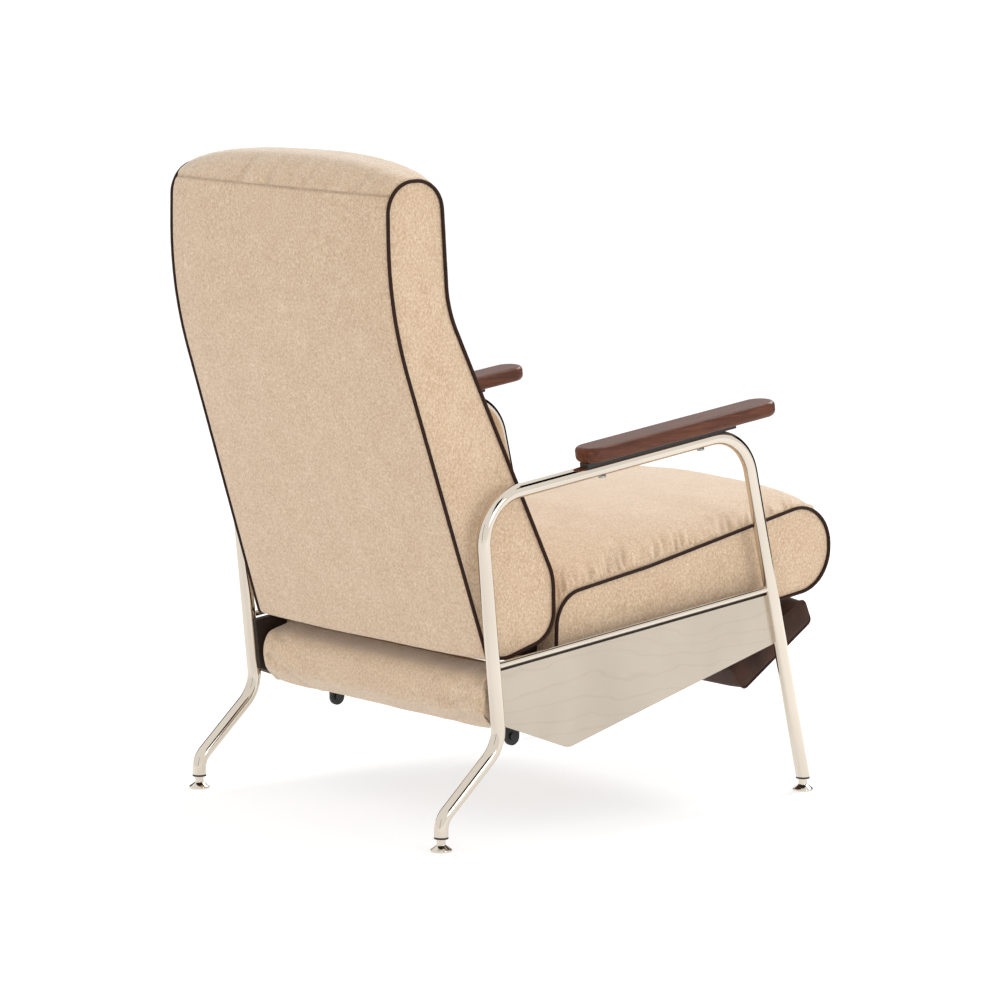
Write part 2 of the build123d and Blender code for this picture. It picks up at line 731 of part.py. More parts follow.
def footrest_hinge():
    """Two-eared bracket on the footrest's back face."""
    lean = radians(FOOT_LEAN)
    dy = FOOT_PIVOT[0] - FOOT_CORNER[0]
    dz = FOOT_PIVOT[1] - FOOT_CORNER[1]
    along = dy * cos(lean) - dz * sin(lean)
    out = dy * sin(lean) + dz * cos(lean)
    ears = ear_sides()
    body = FOOT * block((ears[0][0], ears[1][1]), (along - 14, along + 18), (0, EAR_BASE))
    for ear in ears:
        points = [(along - 10, 0.5), (along - 7.5, out), (along + 7.5, out), (along + 12, 0.5)]
        body += FOOT * plate(points, [0] * 4, ear)
        body += disc(*FOOT_PIVOT, 7.6, ear)
    return body - disc(*FOOT_PIVOT, FOOT_PIN_R, (ears[0][0] - 5, ears[1][1] + 5))


def footrest_pin():
    """Pin through the bracket's ears and the runner's eye."""
    ears = ear_sides()
    return disc(*FOOT_PIVOT, FOOT_PIN_R, (ears[0][0] - 1, ears[1][1] + 1))


# ---------------------------------------------------------------- assembly

os.makedirs("parts", exist_ok=True)

arm_screw_set = arm_screws()
side_tube = TUBE_OUTER - TUBE_LUMEN
pad = arm_pad()
pad_plate = arm_plate()
for screw in arm_screw_set.solids():
    side_tube -= screw
    pad -= screw
    pad_plate -= screw
save_pair("side_tube", side_tube)
save_pair("arm_plate", pad_plate)
save_pair("arm_pad", pad)
save("arm_pad_screws", both_sides(arm_screw_set))
save_pair("seat_rail", seat_rail())
save_pair("side_panel", panel((PANEL_OUTER_X - PANEL_THICK, PANEL_OUTER_X), 0, PANEL_TOP_GAP))

screw_set = flange_screws()
lining = panel((LINING_INNER_X, PANEL_OUTER_X - PANEL_THICK), 3, 0)
cross_tubes = {"rear_cross_tube": cross_tube(REAR_CROSS), "front_cross_tube": cross_tube(FRONT_CROSS)}
for screw in screw_set.solids():
    lining -= screw
    for name in cross_tubes:
        cross_tubes[name] -= screw
save_pair("panel_lining", lining)
save("flange_screws", screw_set)
for name, tube in cross_tubes.items():
    save(name, tube)

inserts = [foot_insert(y) for y in (FRONT_FOOT_Y, REAR_FOOT_Y)]
save("foot_inserts", both_sides(group(inserts)))
for side, x in (("left", SIDE_X), ("right", -SIDE_X)):
    for end, y in (("front", FRONT_FOOT_Y), ("rear", REAR_FOOT_Y)):
        save(f"{side}_{end}_glide", levelling_glide(x, y))

save_pair("base_plate", base_plate())
save("tab_rivets", both_sides(tab_rivet()))
save("seat_channels", both_sides(seat_channel()))
save("apron_board", block((-LINING_INNER_X, LINING_INNER_X), APRON_BOARD_Y, APRON_BOARD_Z))
save("apron_pad", apron_pad())
save("apron_brackets", both_sides(apron_bracket()))

bracket = back_bracket()
save_pair("seat_side_rail", seat_side_rail())
save("seat_front_rail", seat_end_rail(POCKET_FRONT))
save("seat_rear_rail", seat_end_rail(POCKET_REAR - RAIL_WIDTH))
save("seat_webbing", seat_webbing())
save_pair("back_bracket", bracket)
save("seat_runners", both_sides(seat_runner()))
save("footrest_channels", both_sides(footrest_channel()))
save("seat_cushion", seat_cushion([bracket, mirror(bracket, about=Plane.YZ)]))
save_pair("seat_welt", welt(SEAT_OUTLINE, seat_half))

strap = hinge_plate()
pin = hinge_pin()
cuts = [strap, pin, pivot_slot()]
front, rear = back_shapes([shape for cut in cuts for shape in (cut, mirror(cut, about=Plane.YZ))])
save("back_cushion", front)
save("back_rear_panel", rear)
save_pair("back_post", back_post())
save("back_top_rail", back_cross_rail(POST_HIGH - BACK_RAIL_HEIGHT))
save("back_bottom_rail", back_cross_rail(POST_LOW))
save("back_webbing", back_webbing())
save_pair("hinge_plate", strap)
save("hinge_pins", both_sides(pin))
save_pair("back_welt", welt(BACK_OUTLINE, back_half))

board = footrest_board()
save("footrest_board", board)
save("footrest_pad", footrest_pad(board))
save("footrest_hinges", both_sides(footrest_hinge()))
save("footrest_pins", both_sides(footrest_pin()))
save("footrest_runners", both_sides(footrest_runner()))
save("footrest_cross_bar", cross_bar())
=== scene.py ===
import json
from math import cos, pi, radians, sin, tan

import bmesh
import bpy
from mathutils import Matrix, Vector, noise

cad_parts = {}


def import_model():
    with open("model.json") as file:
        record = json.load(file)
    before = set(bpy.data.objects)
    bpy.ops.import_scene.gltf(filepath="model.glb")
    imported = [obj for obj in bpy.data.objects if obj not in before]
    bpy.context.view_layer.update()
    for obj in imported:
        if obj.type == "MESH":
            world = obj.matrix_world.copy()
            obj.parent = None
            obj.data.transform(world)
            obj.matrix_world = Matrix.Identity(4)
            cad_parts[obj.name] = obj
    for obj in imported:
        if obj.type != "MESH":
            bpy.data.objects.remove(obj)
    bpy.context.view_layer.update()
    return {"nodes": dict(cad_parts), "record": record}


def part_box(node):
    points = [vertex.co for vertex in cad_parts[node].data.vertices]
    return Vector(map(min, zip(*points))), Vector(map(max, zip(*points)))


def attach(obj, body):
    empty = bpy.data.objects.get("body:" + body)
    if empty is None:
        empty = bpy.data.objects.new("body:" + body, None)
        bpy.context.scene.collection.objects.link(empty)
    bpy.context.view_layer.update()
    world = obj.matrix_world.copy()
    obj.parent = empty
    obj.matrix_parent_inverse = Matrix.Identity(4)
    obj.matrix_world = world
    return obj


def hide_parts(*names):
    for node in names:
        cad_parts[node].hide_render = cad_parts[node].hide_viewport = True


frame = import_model()

# The chair is described in millimetres with y = 0 midway between the feet, as its side
# profile is drawn; point() turns that into the model's metres.
FEET_SHIFT = (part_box("left_rear_glide")[0].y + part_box("left_front_glide")[1].y) / 2
MM = 0.001
WELT_R = 2.9
WELT_SINK = 0.6 * WELT_R
WELT_STAND_OFF = 0.55 * WELT_R
FOOT_SEAM_R = 1.7
FOOT_SEAM_INSET = 0.5
SEAT_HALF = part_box("seat_cushion")[1].x / MM
APRON_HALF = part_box("apron_pad")[1].x / MM
FOOT_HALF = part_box("footrest_pad")[1].x / MM

# Which part of a cushion's surface a point is on: either rail of its side profile (on the
# back, the first rail is the rear face) or one of the flat side faces.
FIRST_RAIL, SECOND_RAIL, CAP = 0, 1, 2
# Fine folds fade in this near to a seam, and slant by this much as they leave it.
FOLD_SEAM_NEAR = 9.0
FOLD_SLANT = 0.45

# Side profiles: y, z, corner radius, and how far the crown moves the corner in y and z.
SEAT_PROFILE = [
    (117.0, 358.0, 56.0, 0.0, 68.0),
    (-71.0, 388.0, 260.0, 0.0, 72.0),
    (-451.0, 466.0, 66.0, -23.0, 12.0),
    (-451.0, 320.0, 69.0, -23.0, 3.0),
    (121.0, 240.0, 6.0, 0.0, 0.0),
]
BACK_PROFILE = [
    (438.5, 1007.0, 50.0, 7.0, 29.0),
    (438.5, 813.0, 650.0, 7.0, 0.0),
    (262.5, 275.0, 9.0, 5.0, -2.0),
    (221.0, 274.0, 60.0, 0.0, -3.0),
    (128.5, 300.0, 52.0, 0.0, 0.0),
    (128.5, 392.0, 90.0, 0.0, 0.0),
    (325.5, 812.0, 180.0, -25.0, 0.0),
    (335.0, 1007.0, 48.0, -25.0, 29.0),
]
APRON_PROFILE = [
    (206.0, 258.0, 4.0, 0.0, 0.0),
    (262.0, 243.0, 22.0, 2.0, 1.0),
    (262.0, 190.0, 30.0, 2.0, 0.0),
    (238.0, 164.0, 8.0, 0.0, -1.0),
    (206.0, 164.0, 4.0, 0.0, 0.0),
]
# Height and half width of the back's side face at two levels.
BACK_LOW = (330.0, 287.25)
BACK_HIGH = (1007.0, 271.25)
BACK_MEAN_HALF = 280.0
TOP_SEAM_Z = 985.0

# The stowed footrest: its upper front corner, how steeply its upper face falls to the rear,
# and its section measured along that face and square to it.
FOOT_CORNER = (-421.0, 297.0)
FOOT_LEAN = radians(30.7)
FOOT_SECTION = [(0.0, 0.0), (6.0, -42.0), (179.0, -51.0), (183.0, 0.0)]
FOOT_CORNER_R = 9.0

# How finely the surfaces are divided; lengths in mm.
CORNER_STEPS = 12
CAP_STEPS = 10
OUTLINE_STEP = 4.0
CORD_STEP = 3.0
CORD_SIDES = 12
SEAM_SIDES = 8


def point(x, y, z):
    """Model position in metres of a point of the side-profile drawing."""
    return Vector((x * MM, y * MM + FEET_SHIFT, z * MM))


# ------------------------------------------------------------------ outlines

def outline(corners, step):
    """Closed side-view line through rounded corners, as (y, z) points step apart."""
    dense = []
    for i, corner in enumerate(corners):
        here = Vector(corner[:2])
        run_in = (here - Vector(corners[i - 1][:2])).normalized()
        run_out = (Vector(corners[(i + 1) % len(corners)][:2]) - here).normalized()
        turn = run_in.angle(run_out)
        bend = 1.0 if run_in.x * run_out.y - run_in.y * run_out.x > 0 else -1.0
        tangent = corner[2] * tan(turn / 2)
        start = here - run_in * tangent
        side = Vector((-run_in.y, run_in.x)) * bend
        centre = start + side * corner[2]
        for k in range(CORNER_STEPS + 1):
            angle = turn * k / CORNER_STEPS
            dense.append(centre - side * corner[2] * cos(angle) + run_in * corner[2] * sin(angle))
    dense.append(dense[0])
    return resample(dense, round(length_of(dense) / step))


def length_of(points):
    """Length of an open line."""
    return sum((b - a).length for a, b in zip(points, points[1:]))


def resample(points, count):
    """The same open line as count + 1 evenly spaced points."""
    total = length_of(points)
    result = [points[0].copy()]
    walked = 0.0
    target = total / count
    for a, b in zip(points, points[1:]):
        run = (b - a).length
        while run > 1e-9 and walked + run >= target - 1e-6 and len(result) < count:
            result.append(a.lerp(b, (target - walked) / run))
            target = total * len(result) / count
        walked += run
    result.append(points[-1].copy())
    return result


def cord_line(profile):
    """Evenly spaced points of a profile's line, without its crown, for a cord to follow."""
    return outline([corner[:3] for corner in profile], CORD_STEP)[:-1]


def rails(corners, first, last, count):
    """The outline cut at the points nearest first and last, as two lines of equal count."""
    ring = outline(corners, OUTLINE_STEP)[:-1]
    a = min(range(len(ring)), key=lambda i: (ring[i] - Vector(first)).length)
    b = min(range(len(ring)), key=lambda i: (ring[i] - Vector(last)).length)
    one = [ring[(a + i) % len(ring)] for i in range((b - a) % len(ring) + 1)]
    two = [ring[(a - i) % len(ring)] for i in range((a - b) % len(ring) + 1)]
    return resample(one, count), resample(two, count)


# ------------------------------------------------------------------ mesh building

def new_mesh(name, verts, faces, material, smooth=True):
    """Mesh object in the scene with one material."""
    mesh = bpy.data.meshes.new(name)
    mesh.from_pydata(verts, [], faces)
    mesh.validate()
    mesh.update()
    obj = bpy.data.objects.new(name, mesh)
    bpy.context.collection.objects.link(obj)
    obj.data.materials.append(material)
    if smooth:
        mesh.shade_smooth()
    return obj


def crown_at(share):
    """How much of the crown shows at that share of the half width."""
    return (1.0 - min(abs(share), 1.0) ** 2.6) ** 0.75


def width_shares(count):
    """Positions across the width, closer together towards both sides."""
    return [sin(pi / 2 * (2 * i / count - 1)) for i in range(count + 1)]


def profile_rings(profile, anchors, half_at, columns, rows):
    """Points of the profile at each position across the width, and where each one is."""
    verts = []
    info = []
    for share in width_shares(columns):
        crown = crown_at(share)
        moved = [(y + crown * dy, z + crown * dz, r) for y, z, r, dy, dz in profile]
        one, two = rails(moved, *anchors(crown), rows)
        for k, p in enumerate(one + two[-2:0:-1]):
            verts.append(point(share * half_at(p.y), p.x, p.y))
            info.append((share, FIRST_RAIL if k <= rows else SECOND_RAIL))
    return verts, info


def add_cap(verts, info, faces, base, rows, sign, bulge):
    """Ladder of faces that closes one side of the rings and puffs outwards a little."""
    ring = 2 * rows
    lines = []
    for k in range(rows + 1):
        a = base + k
        b = base + (ring - k) % ring
        line = [a]
        if 0 < k < rows:
            for m in range(1, CAP_STEPS):
                t = m / CAP_STEPS
                p = verts[a].lerp(verts[b], t)
                puff = bulge * min(1.0, 4 * t * (1 - t)) * min(1.0, 6 * min(k, rows - k) / rows)
                p.x += sign * puff * MM
                line.append(len(verts))
                verts.append(p)
                info.append((sign, CAP))
            line.append(b)
        lines.append(line)
    for low, high in zip(lines, lines[1:]):
        for m in range(CAP_STEPS):
            quad = [low[min(m, len(low) - 1)], low[min(m + 1, len(low) - 1)]]
            quad += [high[min(m + 1, len(high) - 1)], high[min(m, len(high) - 1)]]
            quad = list(dict.fromkeys(quad))
            if len(quad) > 2:
                faces.append(quad[::-1] if sign < 0 else quad)


def cushion(name, profile, anchors, half_at, columns, rows, material, shape, cap_bulge=2.0):
    """Closed upholstered form: rings of a side profile across the width, with side faces.

    anchors(crown) gives the two points where the profile is cut into two rails; shape
    (share, side, position, normal) returns how far the surface moves outwards in mm and the
    part of that which is a fold, kept on the mesh as painted shade in the cover's colour where it sinks.
    """
    verts, info = profile_rings(profile, anchors, half_at, columns, rows)
    ring = 2 * rows
    faces = []
    for i in range(columns):
        for k in range(ring):
            a = i * ring + k
            b = i * ring + (k + 1) % ring
            faces.append((a, b, b + ring, a + ring))
    add_cap(verts, info, faces, 0, rows, -1.0, cap_bulge)
    add_cap(verts, info, faces, columns * ring, rows, 1.0, cap_bulge)
    obj = new_mesh(name, verts, faces, material)
    mesh = obj.data
    outward(mesh)
    normals = [v.normal.copy() for v in mesh.vertices]
    depth = mesh.attributes.new("fold", "FLOAT", "POINT")
    for v, n, (share, side) in zip(mesh.vertices, normals, info):
        moved, fold = shape(share, side, v.co, n)
        v.co += n * moved * MM
        depth.data[v.index].value = fold
    mesh.update()
    return obj


def outward(mesh):
    """Turn the faces to point out of the closed form."""
    bm = bmesh.new()
    bm.from_mesh(mesh)
    bmesh.ops.recalc_face_normals(bm, faces=bm.faces)
    bm.to_mesh(mesh)
    bm.free()
    mesh.update()


def tube(name, path, radius, material, sides):
    """Closed round cord along a side-view loop of points, slightly uneven; all in metres."""
    verts = []
    faces = []
    count = len(path)
    for i, p in enumerate(path):
        along = (path[(i + 1) % count] - path[i - 1]).normalized()
        across = along.cross(Vector((1, 0, 0)))
        across.normalize()
        up = across.cross(along).normalized()
        for k in range(sides):
            angle = 2 * pi * k / sides
            swell = radius * (1 + 0.05 * noise.noise(p * 60 + Vector((0, 0, k * 0.3))))
            verts.append(p + (across * cos(angle) + up * sin(angle)) * swell)
    for i in range(count):
        for k in range(sides):
            a = i * sides + k
            b = i * sides + (k + 1) % sides
            c = ((i + 1) % count) * sides
            faces.append((a, b, c + (k + 1) % sides, c + k))
    obj = new_mesh(name, verts, faces, material)
    outward(obj.data)
    return obj


# ------------------------------------------------------------------ materials

SURFACE_INPUTS = {
    "color": "Base Color",
    "rough": "Roughness",
    "metal": "Metallic",
    "sheen": "Sheen Weight",
    "sheen_rough": "Sheen Roughness",
    "sheen_tint": "Sheen Tint",
    "coat": "Coat Weight",
    "coat_rough": "Coat Roughness",
    "specular": "Specular IOR Level",
}


class Nodes:
    """Small helper that builds a material's node tree."""

    def __init__(self, name):
        self.material = bpy.data.materials.new(name)
        self.material.use_nodes = True
        self.tree = self.material.node_tree
        self.shader = self.tree.nodes["Principled BSDF"]

    def add(self, kind, **values):
        node = self.tree.nodes.new(kind)
        for key, value in values.items():
            if key in node.inputs:
                node.inputs[key].default_value = value
            else:
                setattr(node, key, value)
        return node

    def link(self, source, target):
        self.tree.links.new(source, target)

    def place(self, scale=(1.0, 1.0, 1.0)):
        """Object coordinates stretched by scale."""
        coords = self.add("ShaderNodeTexCoord")
        mapping = self.add("ShaderNodeMapping")
        mapping.inputs["Scale"].default_value = scale
        self.link(coords.outputs["Object"], mapping.inputs["Vector"])
        return mapping.outputs["Vector"]

    def noise(self, vector, scale, detail=3.0, rough=0.55, distort=0.0):
        node = self.add("ShaderNodeTexNoise", Scale=scale, Detail=detail, Roughness=rough)
        node.inputs["Distortion"].default_value = distort
        self.link(vector, node.inputs["Vector"])
        return node.outputs["Fac"]

    def ramp(self, value, stops):
        node = self.add("ShaderNodeValToRGB")
        ramp = node.color_ramp
        while len(ramp.elements) < len(stops):
            ramp.elements.new(0.5)
        for element, (position, colour) in zip(ramp.elements, stops):
            element.position = position
            element.color = (*colour, 1.0)
        self.link(value, node.inputs["Fac"])
        return node.outputs["Color"]

    def mix(self, factor, a, b, kind="MIX"):
        node = self.add("ShaderNodeMix", data_type="RGBA", blend_type=kind)
        if isinstance(factor, float):
            node.inputs[0].default_value = factor
        else:
            self.link(factor, node.inputs[0])
        for socket, value in ((node.inputs[6], a), (node.inputs[7], b)):
            if isinstance(value, tuple):
                socket.default_value = (*value, 1.0)
            else:
                self.link(value, socket)
        return node.outputs[2]

    def maths(self, kind, a, b):
        node = self.add("ShaderNodeMath", operation=kind)
        for socket, value in zip(node.inputs, (a, b)):
            if isinstance(value, float):
                socket.default_value = value
            else:
                self.link(value, socket)
        return node.outputs[0]

    def painted_fold_shade(self, depth_gain, low):
        """Painted shade, from low to 1, in a cover's stored folds where they sink."""
        fold = self.add("ShaderNodeAttribute", attribute_name="fold")
        node = self.add("ShaderNodeMath", operation="MULTIPLY_ADD", use_clamp=True)
        self.link(fold.outputs["Fac"], node.inputs[0])
        node.inputs[1].default_value = depth_gain
        node.inputs[2].default_value = 1.0
        return self.grey(node.outputs[0], low, 1.0)

    def grey(self, value, low, high):
        """A value's 0 to 1 range moved to low to high."""
        node = self.add("ShaderNodeMapRange")
        node.inputs["To Min"].default_value = low
        node.inputs["To Max"].default_value = high
        self.link(value, node.inputs["Value"])
        return node.outputs["Result"]

    def bump(self, height, strength, distance):
        node = self.add("ShaderNodeBump")
        node.inputs["Strength"].default_value = strength
        node.inputs["Distance"].default_value = distance
        self.link(height, node.inputs["Height"])
        self.link(node.outputs["Normal"], self.shader.inputs["Normal"])

    def set(self, **values):
        """Give the surface's named properties a number, a colour or a node's output."""
        for key, value in values.items():
            socket = self.shader.inputs[SURFACE_INPUTS[key]]
            if isinstance(value, (int, float)):
                socket.default_value = value
            elif isinstance(value, tuple):
                socket.default_value = (*value, 1.0)
            else:
                self.link(value, socket)


def srgb(r, g, b):
    """Linear colour from 0-255 display values."""
    return tuple(((c / 255 + 0.055) / 1.055) ** 2.4 if c > 10 else c / 3294.6 for c in (r, g, b))


def chenille():
    """Brushed beige chenille: flecked yarn, soft mottling, a light nap and painted shade in the fold
    hollows.
    """
    m = Nodes("beige_chenille")
    fleck = m.noise(m.place((1.0, 1.0, 0.75)), 330.0, 5.0, 0.75)
    patch = m.noise(m.place((1.0, 1.0, 0.8)), 26.0, 5.0, 0.7)
    yarn_tones = [(0.32, srgb(160, 128, 98)), (0.5, srgb(206, 178, 148)), (0.68, srgb(241, 223, 199))]
    patch_tones = [(0.35, srgb(204, 175, 146)), (0.62, srgb(218, 193, 164)), (0.75, srgb(236, 217, 192))]
    base = m.ramp(fleck, yarn_tones)
    soft = m.ramp(patch, patch_tones)
    colour = m.mix(0.38, base, soft)
    # Painted shade: the colour is darkened where the stored folds sink.
    colour = m.mix(1.0, colour, m.painted_fold_shade(0.24, 0.68), "MULTIPLY")
    m.set(color=colour, rough=0.93, specular=0.15)
    m.set(sheen=0.9, sheen_rough=0.38, sheen_tint=srgb(250, 247, 242))
    rib = m.noise(m.place((1.0, 1.0, 0.5)), 800.0, 3.0, 0.6)
    height = m.maths("ADD", m.maths("MULTIPLY", fleck, 0.9), m.maths("MULTIPLY", rib, 0.5))
    m.bump(height, 0.7, 0.0016)
    return m.material


def welt_cloth():
    """Dark brown cover of the piping cord, with a fine twill."""
    m = Nodes("dark_brown_welt")
    grain = m.noise(m.place(), 700.0, 3.0, 0.6)
    m.set(color=m.ramp(grain, [(0.3, srgb(30, 14, 8)), (0.7, srgb(56, 31, 20))]), rough=0.7, specular=0.2)
    m.bump(grain, 0.35, 0.0006)
    return m.material


def chrome():
    """Warm bright nickel-chrome tube with faint handling haze."""
    m = Nodes("bright_chrome")
    haze = m.noise(m.place(), 60.0, 3.0, 0.6)
    tint = m.noise(m.place(), 5.0, 2.0, 0.5)
    m.set(color=m.ramp(tint, [(0.3, srgb(212, 202, 188)), (0.7, srgb(224, 214, 200))]), metal=1.0,
          rough=m.grey(haze, 0.035, 0.09))
    return m.material


def panel_steel():
    """Polished steel panel with faint drawn veins."""
    m = Nodes("polished_panel")
    bend = m.noise(m.place(), 5.0, 3.0, 0.5)
    drawn = m.add("ShaderNodeTexWave", wave_type="BANDS", bands_direction="Z", Scale=9.0, Distortion=16.0,
                  Detail=3.0)
    drawn.inputs["Detail Scale"].default_value = 0.8
    m.link(m.place((0.4, 0.5, 1.4)), drawn.inputs["Vector"])
    vein_stops = [(0.0, (0.84, 0.83, 0.82)), (0.045, (0.97, 0.97, 0.97)), (0.12, (1.0, 1.0, 1.0))]
    vein = m.ramp(drawn.outputs["Fac"], vein_stops)
    tone = m.ramp(bend, [(0.3, srgb(182, 171, 156)), (0.7, srgb(196, 185, 170))])
    m.set(color=m.mix(0.28, tone, m.mix(1.0, tone, vein, "MULTIPLY")), metal=0.75,
          rough=m.grey(bend, 0.16, 0.26), specular=0.6)
    return m.material


def arm_wood():
    """Walnut-brown arm pads: satin lacquer over straight grain."""
    m = Nodes("walnut_arm")
    grain = m.noise(m.place((9.0, 0.7, 9.0)), 22.0, 5.0, 0.6, 0.4)
    pores = m.noise(m.place((14.0, 0.5, 14.0)), 90.0, 3.0, 0.6)
    colour = m.ramp(grain, [(0.3, srgb(66, 31, 15)), (0.5, srgb(88, 44, 23)), (0.72, srgb(110, 60, 34))])
    pore_shade = m.ramp(pores, [(0.35, (0.72, 0.70, 0.68)), (0.5, (1.0, 1.0, 1.0))])
    colour = m.mix(1.0, colour, pore_shade, "MULTIPLY")
    m.set(color=colour, rough=m.grey(grain, 0.42, 0.52), specular=0.28, coat=0.06, coat_rough=0.3)
    m.bump(pores, 0.12, 0.0005)
    return m.material


def leather():
    """Dark brown soft-grain leather."""
    m = Nodes("brown_leather")
    cells = m.add("ShaderNodeTexVoronoi", Scale=620.0)
    m.link(m.place(), cells.inputs["Vector"])
    worn = m.noise(m.place(), 14.0, 4.0, 0.6)
    m.set(color=m.ramp(worn, [(0.3, srgb(50, 30, 21)), (0.7, srgb(72, 46, 35))]),
          rough=m.grey(worn, 0.5, 0.62), specular=0.18)
    height = m.maths("ADD", cells.outputs["Distance"], m.maths("MULTIPLY", worn, 0.6))
    m.bump(height, 0.3, 0.0009)
    return m.material


def plain_metal(name, dark, light, rough, metal):
    """Plated or powder-coated steel with slight unevenness."""
    m = Nodes(name)
    spots = m.noise(m.place(), 90.0, 4.0, 0.6)
    m.set(color=m.ramp(spots, [(0.3, dark), (0.7, light)]), metal=metal)
    m.set(rough=m.grey(spots, rough, rough + 0.12))
    m.bump(spots, 0.08, 0.0004)
    return m.material


def wood(name, dark, light, rough):
    """Plain sawn or stained board."""
    m = Nodes(name)
    grain = m.noise(m.place((1.2, 9.0, 9.0)), 14.0, 5.0, 0.6, 0.5)
    m.set(color=m.ramp(grain, [(0.3, dark), (0.7, light)]), rough=rough)
    m.bump(grain, 0.2, 0.0006)
    return m.material


def webbing():
    """Woven jute webbing."""
    m = Nodes("jute_webbing")
    checker = m.add("ShaderNodeTexChecker", Scale=260.0)
    m.link(m.place(), checker.inputs["Vector"])
    fuzz = m.noise(m.place(), 300.0, 3.0, 0.6)
    loose = m.ramp(fuzz, [(0.3, srgb(120, 98, 70)), (0.7, srgb(165, 140, 105))])
    woven = m.ramp(checker.outputs["Fac"], [(0.0, srgb(110, 88, 62)), (1.0, srgb(160, 136, 100))])
    m.set(color=m.mix(0.5, loose, woven), rough=0.9)
    m.bump(checker.outputs["Fac"], 0.3, 0.0006)
    return m.material


CHENILLE = chenille()
WELT = welt_cloth()
LEATHER = leather()
SLOT_MATERIALS = {
    "tube_chrome": chrome(),
    "panel_steel": panel_steel(),
    # The lining's near-black brown is partly its stain and partly painted shade for the narrow gap under
    # the side rail.
    "lining": wood("lining_stain_and_gap_shade", srgb(24, 14, 10), srgb(48, 29, 20), 0.6),
    "arm_wood": arm_wood(),
    "mechanism_steel": plain_metal("black_steel", srgb(14, 14, 15), srgb(26, 26, 27), 0.35, 0.0),
    "zinc_steel": plain_metal("zinc_plate", srgb(150, 150, 148), srgb(180, 180, 178), 0.3, 1.0),
    "insert_plastic": plain_metal("black_plastic", srgb(16, 16, 16), srgb(28, 28, 28), 0.5, 0.0),
    "frame_wood": wood("raw_beech", srgb(168, 130, 92), srgb(202, 166, 124), 0.7),
    "webbing": webbing(),
    "chenille": CHENILLE,
    "piping": WELT,
    "footrest_leather": LEATHER,
}
NODE_SLOTS = {part["node"]: part["material_slot"] for part in frame["record"]["subparts"]}
for name, node in frame["nodes"].items():
    node.data.materials.clear()
    node.data.materials.append(SLOT_MATERIALS[NODE_SLOTS[name]])


# ------------------------------------------------------------------ upholstery

def ridge(position, stretch, seed):
    """Signed noise that runs in long thin folds; stretch scales each axis."""
    p = Vector((position.x * stretch[0], position.y * stretch[1], position.z * stretch[2] + seed))
    return noise.noise(p)


def seam_distance(share, half):
    """Rough distance in mm from the side seam."""
    return (1.0 - abs(share)) * half * 1.35


def gather(co, share, half, spacing, seed):
    """Fine folds, -1 to 1, that run inwards from a side seam and slant as they fade."""
    d = seam_distance(share, half)
    slant = co.y / MM + FOLD_SLANT * d + 9.0 * noise.noise(Vector((co.y * 14, co.x * 14, seed)))
    wave = noise.noise(Vector((slant / spacing, d / 90.0, seed + (5.0 if share > 0 else 0.0))))
    reach = 58.0 + 44.0 * noise.noise(Vector((co.y * 11, 0.0, seed + 3.0)))
    fade = min(1.0, d / FOLD_SEAM_NEAR) * max(0.0, 1.0 - d / max(reach, 12.0))
    return (abs(wave) ** 0.8 * (1.0 if wave > 0 else -1.0)) * fade


def seat_shape(share, side, co, normal):
    """Gathers along the seat's side seams, hollows and soft lumps on its top."""
    if side == CAP:
        return 0.8 * ridge(co, (20, 9, 16), 3.0), 0.0
    d = seam_distance(share, SEAT_HALF)
    tuck = -2.2 * max(0.0, 1.0 - d / 7.0)
    top = min(1.0, max(0.0, normal.z) * 1.3 + max(0.0, -normal.y) * 0.8)
    folds = 5.6 * gather(co, share, SEAT_HALF, 9.5, 1.0) + 3.6 * gather(co, share, SEAT_HALF, 22.0, 6.0)
    folds *= 0.2 + 0.8 * top
    lump = 2.2 * ridge(co, (9, 11, 9), 2.0) * top * min(1.0, d / 60.0)
    nap = 0.35 * ridge(co, (70, 60, 70), 4.0) * min(1.0, d / 20.0)
    # The second value paints shade into the cover's colour where the folds sink.
    return tuck + folds + lump + nap, folds


def back_shape(share, side, co, normal):
    """Top seam, the small drag lines above it and a soft, nearly taut panel."""
    z = co.z / MM
    if side == CAP:
        return 0.7 * ridge(co, (16, 16, 12), 7.0), 0.0
    rear = side == FIRST_RAIL
    d = seam_distance(share, BACK_MEAN_HALF)
    tuck = -2.0 * max(0.0, 1.0 - d / 7.0)
    moved = tuck + 1.1 * ridge(co, (8, 8, 6), 8.0) * min(1.0, d / 50.0)
    moved += 0.3 * ridge(co, (60, 60, 40), 9.0) * min(1.0, d / 20.0)
    gap = z - TOP_SEAM_Z
    above = min(1.0, max(0.0, gap / 5.0)) * max(0.0, 1.0 - gap / 60.0)
    drag = ridge(Vector((co.x + 0.6 * co.z, 0, co.z * 0.08)), (42, 0, 42), 2.5)
    fold = 3.4 * drag * above * min(1.0, d / 30.0) * (1.0 if rear else 0.4)
    edge = gather(Vector((co.x, co.z, 0)), share, BACK_MEAN_HALF, 20.0, 6.0)
    fold += 1.6 * edge * (0.35 if rear else 1.0)
    if rear and normal.y > 0.3:
        fold -= 3.0 * max(0.0, 1.0 - abs(gap) / 3.2)
        moved += 1.1 * max(0.0, 1.0 - abs(gap - 8.0) / 8.0)
    # The second value paints shade into the cover's colour along the folds and in the top seam groove.
    return moved + fold, fold


